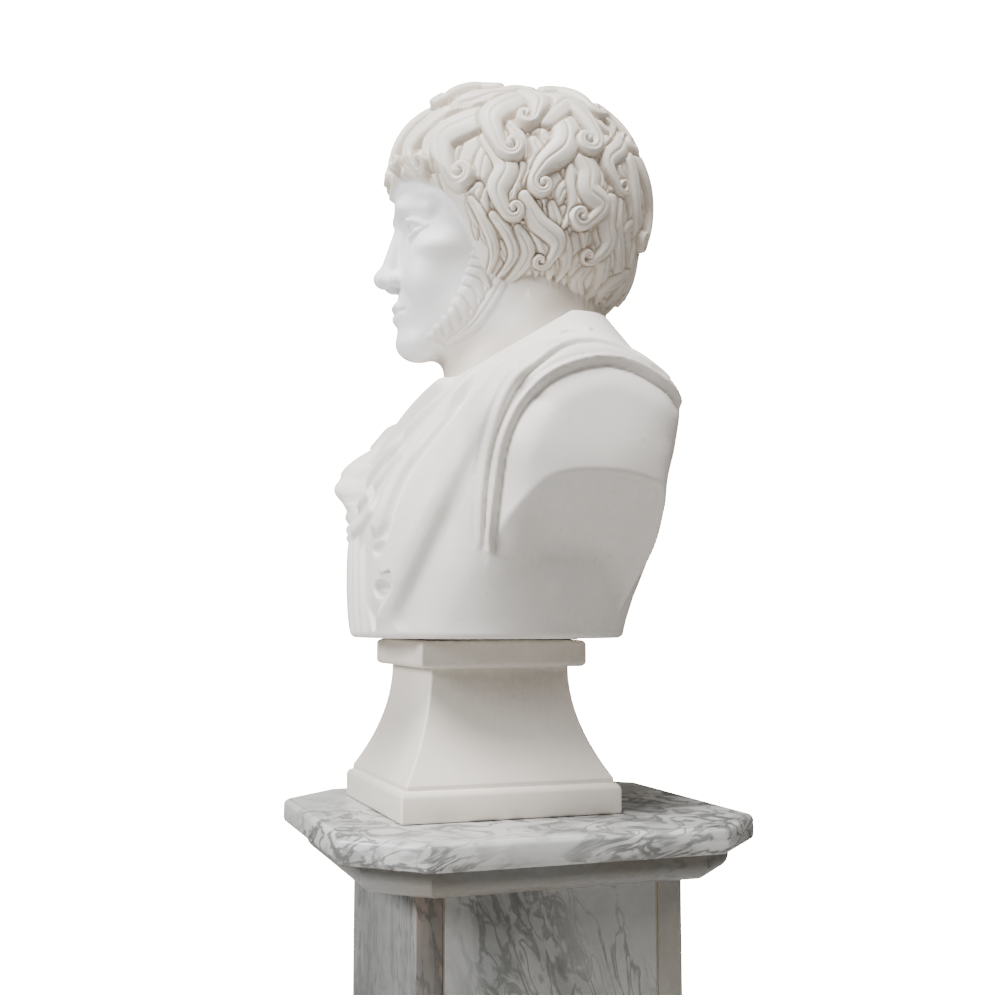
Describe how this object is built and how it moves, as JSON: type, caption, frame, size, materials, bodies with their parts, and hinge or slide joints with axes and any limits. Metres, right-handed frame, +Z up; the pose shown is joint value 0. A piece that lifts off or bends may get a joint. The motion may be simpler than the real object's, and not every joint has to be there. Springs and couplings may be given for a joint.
{
  "type": "portrait bust on pedestal",
  "caption": "White marble portrait bust with thick curled hair, short jaw beard and draped shoulders, on a flared socle and a grey-veined marble pedestal.",
  "frame": {"origin": "centre of the pedestal's underside, on the floor", "axes": "+Z up, the bust's chest faces -Y, +X is the bust's left side"},
  "size_m": [0.4006, 0.356, 1.5655],
  "materials": {
    "bust_marble": "honed white marble, cool white on the skin and warmer cream on hair and cloth",
    "socle_marble": "honed cream-white marble",
    "veined_marble": "polished grey-white marble with dark grey veins",
    "glue": "thin yellowed glue line between marble boards",
    "bedding": "thin dark bedding joint"
  },
  "bodies": {
    "root": {"pedestal_foot": "veined_marble", "pedestal_foot_moulding": "veined_marble", "pedestal_top_moulding": "veined_marble", "pedestal_slab": "veined_marble", "shaft_board_back": "veined_marble", "shaft_panel_left": "veined_marble", "glue_line_left_back": "glue", "glue_line_left_front": "glue", "shaft_board_front": "veined_marble", "shaft_panel_right": "veined_marble", "glue_line_right_back": "glue", "glue_line_right_front": "glue", "socle": "socle_marble", "bust_bedding": "bedding", "bust": "bust_marble"}
  },
  "joints": []
}
